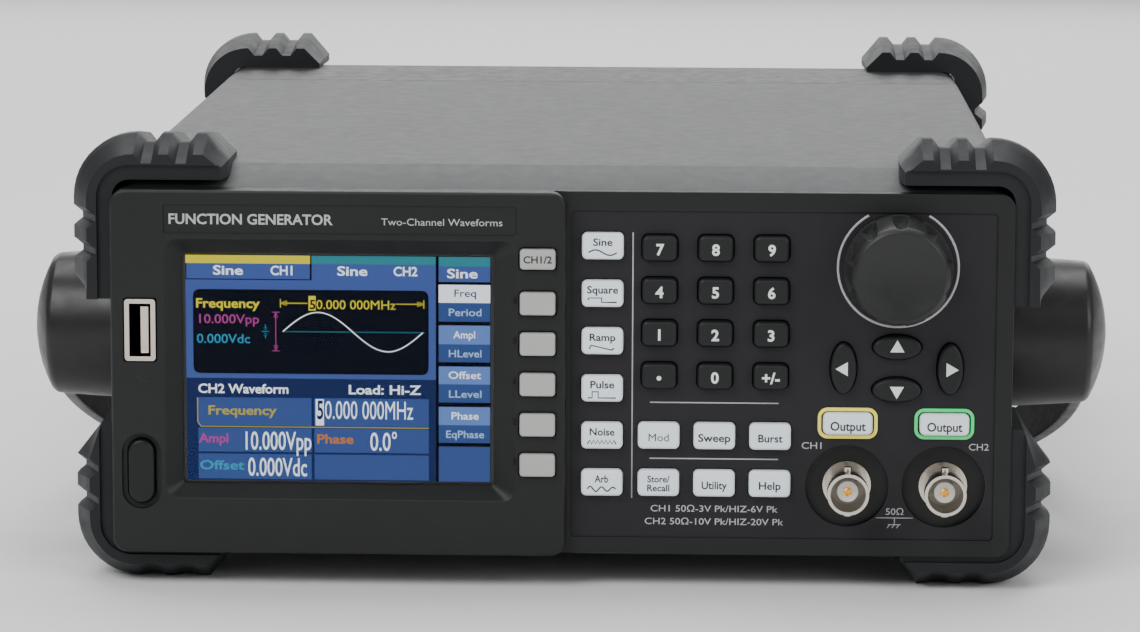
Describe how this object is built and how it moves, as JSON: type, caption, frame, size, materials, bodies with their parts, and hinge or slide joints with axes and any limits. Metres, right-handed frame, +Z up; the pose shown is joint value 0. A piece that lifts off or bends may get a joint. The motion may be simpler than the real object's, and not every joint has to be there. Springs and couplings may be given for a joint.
{
  "type": "function generator",
  "caption": "Bench function generator: box case with colour display, key panel, rotary knob, BNC outputs, rubber corner bumpers and a swing handle folded underneath.",
  "frame": {"origin": "under the middle of the object, on the surface that it stands on", "axes": "+X to the right seen from the front, +Y to the back, +Z up; the front panel faces -Y"},
  "size_m": [0.262, 0.2972, 0.105],
  "materials": {
    "grey_key": "moulded satin",
    "white_key": "translucent satin",
    "black_key": "moulded satin",
    "power_key": "moulded satin",
    "bezel_plastic": "fine texture",
    "panel_film": "satin film",
    "window_clear": "clear",
    "display": "liquid crystal module",
    "silicone": "moulded",
    "circuit_board": "solder resist",
    "knob_plastic": "soft touch",
    "steel_parts": "turned",
    "handle_plastic": "satin",
    "plated_metal": "nickel plate",
    "insulator": "moulded",
    "sheet_metal": "zinc plate",
    "case_plastic": "fine textured paint",
    "rear_plastic": "fine texture",
    "bumper_rubber": "matte",
    "inlet_plastic": "moulded",
    "screw_steel": "black oxide"
  },
  "bodies": {
    "instrument": {"bnc_sockets": "plated_metal", "chassis": "sheet_metal", "corner_bumpers": "bumper_rubber", "display_window": "window_clear", "encoder": "steel_parts", "front_bezel": "bezel_plastic", "front_board": "circuit_board", "handle_pivots": "steel_parts", "key_panel": "panel_film", "keypad_mat": "silicone", "lcd_module": "display", "lower_case": "case_plastic", "main_board": "circuit_board", "mains_inlet": "inlet_plastic", "power_supply": "circuit_board", "rear_panel": "rear_plastic", "screws": "screw_steel", "socket_cores": "insulator", "upper_case": "case_plastic", "usb_sockets": "plated_metal"},
    "channel_key_body": {"channel_key": "grey_key"},
    "menu_key_1_body": {"menu_key_1": "grey_key"},
    "menu_key_2_body": {"menu_key_2": "grey_key"},
    "menu_key_3_body": {"menu_key_3": "grey_key"},
    "menu_key_4_body": {"menu_key_4": "grey_key"},
    "menu_key_5_body": {"menu_key_5": "grey_key"},
    "sine_key_body": {"sine_key": "white_key"},
    "square_key_body": {"square_key": "white_key"},
    "ramp_key_body": {"ramp_key": "white_key"},
    "pulse_key_body": {"pulse_key": "white_key"},
    "noise_key_body": {"noise_key": "white_key"},
    "arb_key_body": {"arb_key": "white_key"},
    "mod_key_body": {"mod_key": "white_key"},
    "sweep_key_body": {"sweep_key": "white_key"},
    "burst_key_body": {"burst_key": "white_key"},
    "store_key_body": {"store_key": "white_key"},
    "utility_key_body": {"utility_key": "white_key"},
    "help_key_body": {"help_key": "white_key"},
    "output_key_1_body": {"output_key_1": "white_key"},
    "output_key_2_body": {"output_key_2": "white_key"},
    "number_key_7_body": {"number_key_7": "black_key"},
    "number_key_8_body": {"number_key_8": "black_key"},
    "number_key_9_body": {"number_key_9": "black_key"},
    "number_key_4_body": {"number_key_4": "black_key"},
    "number_key_5_body": {"number_key_5": "black_key"},
    "number_key_6_body": {"number_key_6": "black_key"},
    "number_key_1_body": {"number_key_1": "black_key"},
    "number_key_2_body": {"number_key_2": "black_key"},
    "number_key_3_body": {"number_key_3": "black_key"},
    "number_key_point_body": {"number_key_point": "black_key"},
    "number_key_0_body": {"number_key_0": "black_key"},
    "number_key_sign_body": {"number_key_sign": "black_key"},
    "arrow_key_up_body": {"arrow_key_up": "black_key"},
    "arrow_key_down_body": {"arrow_key_down": "black_key"},
    "arrow_key_left_body": {"arrow_key_left": "black_key"},
    "arrow_key_right_body": {"arrow_key_right": "black_key"},
    "power_button_body": {"power_button": "power_key"},
    "knob_body": {"knob": "knob_plastic", "encoder_shaft": "steel_parts"},
    "handle_body": {"handle": "handle_plastic"}
  },
  "joints": [
    {"name": "handle_swing", "type": "hinge", "parent": "instrument", "child": "handle_body", "pos_m": [0, -0.07525, 0.0525], "axis": [-1, 0, 0], "range_deg": [0, 300]},
    {"name": "knob_turn", "type": "hinge", "parent": "instrument", "child": "knob_body", "pos_m": [0.0778, -0.13225, 0.076], "axis": [0, 1, 0], "continuous": true},
    {"name": "power_button_press", "type": "slide", "parent": "instrument", "child": "power_button_body", "axis": [0, 1, 0], "range_m": [0, 0.001], "stiffness_N_per_m": 600},
    {"name": "channel_key_press", "type": "slide", "parent": "instrument", "child": "channel_key_body", "axis": [0, 1, 0], "range_m": [0, 0.001], "stiffness_N_per_m": 600},
    {"name": "menu_key_1_press", "type": "slide", "parent": "instrument", "child": "menu_key_1_body", "axis": [0, 1, 0], "range_m": [0, 0.001], "stiffness_N_per_m": 600},
    {"name": "menu_key_2_press", "type": "slide", "parent": "instrument", "child": "menu_key_2_body", "axis": [0, 1, 0], "range_m": [0, 0.001], "stiffness_N_per_m": 600},
    {"name": "menu_key_3_press", "type": "slide", "parent": "instrument", "child": "menu_key_3_body", "axis": [0, 1, 0], "range_m": [0, 0.001], "stiffness_N_per_m": 600},
    {"name": "menu_key_4_press", "type": "slide", "parent": "instrument", "child": "menu_key_4_body", "axis": [0, 1, 0], "range_m": [0, 0.001], "stiffness_N_per_m": 600},
    {"name": "menu_key_5_press", "type": "slide", "parent": "instrument", "child": "menu_key_5_body", "axis": [0, 1, 0], "range_m": [0, 0.001], "stiffness_N_per_m": 600},
    {"name": "sine_key_press", "type": "slide", "parent": "instrument", "child": "sine_key_body", "axis": [0, 1, 0], "range_m": [0, 0.001], "stiffness_N_per_m": 600},
    {"name": "square_key_press", "type": "slide", "parent": "instrument", "child": "square_key_body", "axis": [0, 1, 0], "range_m": [0, 0.001], "stiffness_N_per_m": 600},
    {"name": "ramp_key_press", "type": "slide", "parent": "instrument", "child": "ramp_key_body", "axis": [0, 1, 0], "range_m": [0, 0.001], "stiffness_N_per_m": 600},
    {"name": "pulse_key_press", "type": "slide", "parent": "instrument", "child": "pulse_key_body", "axis": [0, 1, 0], "range_m": [0, 0.001], "stiffness_N_per_m": 600},
    {"name": "noise_key_press", "type": "slide", "parent": "instrument", "child": "noise_key_body", "axis": [0, 1, 0], "range_m": [0, 0.001], "stiffness_N_per_m": 600},
    {"name": "arb_key_press", "type": "slide", "parent": "instrument", "child": "arb_key_body", "axis": [0, 1, 0], "range_m": [0, 0.001], "stiffness_N_per_m": 600},
    {"name": "mod_key_press", "type": "slide", "parent": "instrument", "child": "mod_key_body", "axis": [0, 1, 0], "range_m": [0, 0.001], "stiffness_N_per_m": 600},
    {"name": "sweep_key_press", "type": "slide", "parent": "instrument", "child": "sweep_key_body", "axis": [0, 1, 0], "range_m": [0, 0.001], "stiffness_N_per_m": 600},
    {"name": "burst_key_press", "type": "slide", "parent": "instrument", "child": "burst_key_body", "axis": [0, 1, 0], "range_m": [0, 0.001], "stiffness_N_per_m": 600},
    {"name": "store_key_press", "type": "slide", "parent": "instrument", "child": "store_key_body", "axis": [0, 1, 0], "range_m": [0, 0.001], "stiffness_N_per_m": 600},
    {"name": "utility_key_press", "type": "slide", "parent": "instrument", "child": "utility_key_body", "axis": [0, 1, 0], "range_m": [0, 0.001], "stiffness_N_per_m": 600},
    {"name": "help_key_press", "type": "slide", "parent": "instrument", "child": "help_key_body", "axis": [0, 1, 0], "range_m": [0, 0.001], "stiffness_N_per_m": 600},
    {"name": "output_key_1_press", "type": "slide", "parent": "instrument", "child": "output_key_1_body", "axis": [0, 1, 0], "range_m": [0, 0.001], "stiffness_N_per_m": 600},
    {"name": "output_key_2_press", "type": "slide", "parent": "instrument", "child": "output_key_2_body", "axis": [0, 1, 0], "range_m": [0, 0.001], "stiffness_N_per_m": 600},
    {"name": "number_key_7_press", "type": "slide", "parent": "instrument", "child": "number_key_7_body", "axis": [0, 1, 0], "range_m": [0, 0.001], "stiffness_N_per_m": 600},
    {"name": "number_key_8_press", "type": "slide", "parent": "instrument", "child": "number_key_8_body", "axis": [0, 1, 0], "range_m": [0, 0.001], "stiffness_N_per_m": 600},
    {"name": "number_key_9_press", "type": "slide", "parent": "instrument", "child": "number_key_9_body", "axis": [0, 1, 0], "range_m": [0, 0.001], "stiffness_N_per_m": 600},
    {"name": "number_key_4_press", "type": "slide", "parent": "instrument", "child": "number_key_4_body", "axis": [0, 1, 0], "range_m": [0, 0.001], "stiffness_N_per_m": 600},
    {"name": "number_key_5_press", "type": "slide", "parent": "instrument", "child": "number_key_5_body", "axis": [0, 1, 0], "range_m": [0, 0.001], "stiffness_N_per_m": 600},
    {"name": "number_key_6_press", "type": "slide", "parent": "instrument", "child": "number_key_6_body", "axis": [0, 1, 0], "range_m": [0, 0.001], "stiffness_N_per_m": 600},
    {"name": "number_key_1_press", "type": "slide", "parent": "instrument", "child": "number_key_1_body", "axis": [0, 1, 0], "range_m": [0, 0.001], "stiffness_N_per_m": 600},
    {"name": "number_key_2_press", "type": "slide", "parent": "instrument", "child": "number_key_2_body", "axis": [0, 1, 0], "range_m": [0, 0.001], "stiffness_N_per_m": 600},
    {"name": "number_key_3_press", "type": "slide", "parent": "instrument", "child": "number_key_3_body", "axis": [0, 1, 0], "range_m": [0, 0.001], "stiffness_N_per_m": 600},
    {"name": "number_key_point_press", "type": "slide", "parent": "instrument", "child": "number_key_point_body", "axis": [0, 1, 0], "range_m": [0, 0.001], "stiffness_N_per_m": 600},
    {"name": "number_key_0_press", "type": "slide", "parent": "instrument", "child": "number_key_0_body", "axis": [0, 1, 0], "range_m": [0, 0.001], "stiffness_N_per_m": 600},
    {"name": "number_key_sign_press", "type": "slide", "parent": "instrument", "child": "number_key_sign_body", "axis": [0, 1, 0], "range_m": [0, 0.001], "stiffness_N_per_m": 600},
    {"name": "arrow_key_up_press", "type": "slide", "parent": "instrument", "child": "arrow_key_up_body", "axis": [0, 1, 0], "range_m": [0, 0.001], "stiffness_N_per_m": 600},
    {"name": "arrow_key_down_press", "type": "slide", "parent": "instrument", "child": "arrow_key_down_body", "axis": [0, 1, 0], "range_m": [0, 0.001], "stiffness_N_per_m": 600},
    {"name": "arrow_key_left_press", "type": "slide", "parent": "instrument", "child": "arrow_key_left_body", "axis": [0, 1, 0], "range_m": [0, 0.001], "stiffness_N_per_m": 600},
    {"name": "arrow_key_right_press", "type": "slide", "parent": "instrument", "child": "arrow_key_right_body", "axis": [0, 1, 0], "range_m": [0, 0.001], "stiffness_N_per_m": 600}
  ]
}
